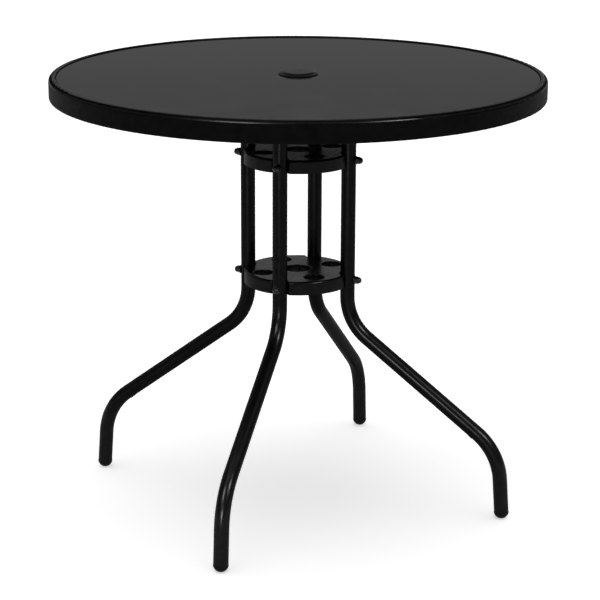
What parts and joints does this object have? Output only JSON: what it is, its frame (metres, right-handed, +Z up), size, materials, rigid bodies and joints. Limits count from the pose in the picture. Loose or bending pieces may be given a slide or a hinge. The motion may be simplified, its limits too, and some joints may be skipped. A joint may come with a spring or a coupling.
{
  "type": "garden table",
  "caption": "Round black glass garden table in a rolled steel rim on bent tube legs tied by pressed discs, with a lift-out cap over its parasol hole.",
  "frame": {"origin": "on the floor under the middle of the round top", "axes": "+Z up; the legs stand on +X (right in the picture), +Y (back), -X (left) and -Y (front)"},
  "size_m": [0.7999, 0.8, 0.7225],
  "materials": {
    "glass": "black-backed tempered glass, satin",
    "frame_steel": "black powder coat, semi-gloss",
    "fasteners": "black zinc, semi-gloss",
    "black_plastic": "fine satin moulding",
    "foot_plastic": "matt moulding",
    "rubber": "soft matt"
  },
  "bodies": {
    "table": {"glass_top": "glass", "glass_gasket": "rubber", "rim": "frame_steel", "rim_tabs": "frame_steel", "parasol_grommet": "black_plastic", "arm_end_plugs": "black_plastic", "arm_bolts": "fasteners", "arm_pads": "rubber", "leg_right": "frame_steel", "foot_right": "foot_plastic", "leg_back": "frame_steel", "foot_back": "foot_plastic", "leg_left": "frame_steel", "foot_left": "foot_plastic", "leg_front": "frame_steel", "foot_front": "foot_plastic", "upper_disc": "frame_steel", "upper_disc_bolts": "fasteners", "upper_washers": "fasteners", "upper_cap_nuts": "fasteners", "lower_disc": "frame_steel", "lower_disc_bolts": "fasteners", "lower_washers": "fasteners", "lower_cap_nuts": "fasteners"},
    "cap": {"parasol_cap": "black_plastic"}
  },
  "joints": [
    {"name": "cap_lift", "type": "slide", "parent": "table", "child": "cap", "axis": [0, 0, 1], "range_m": [0, 0.05]}
  ]
}
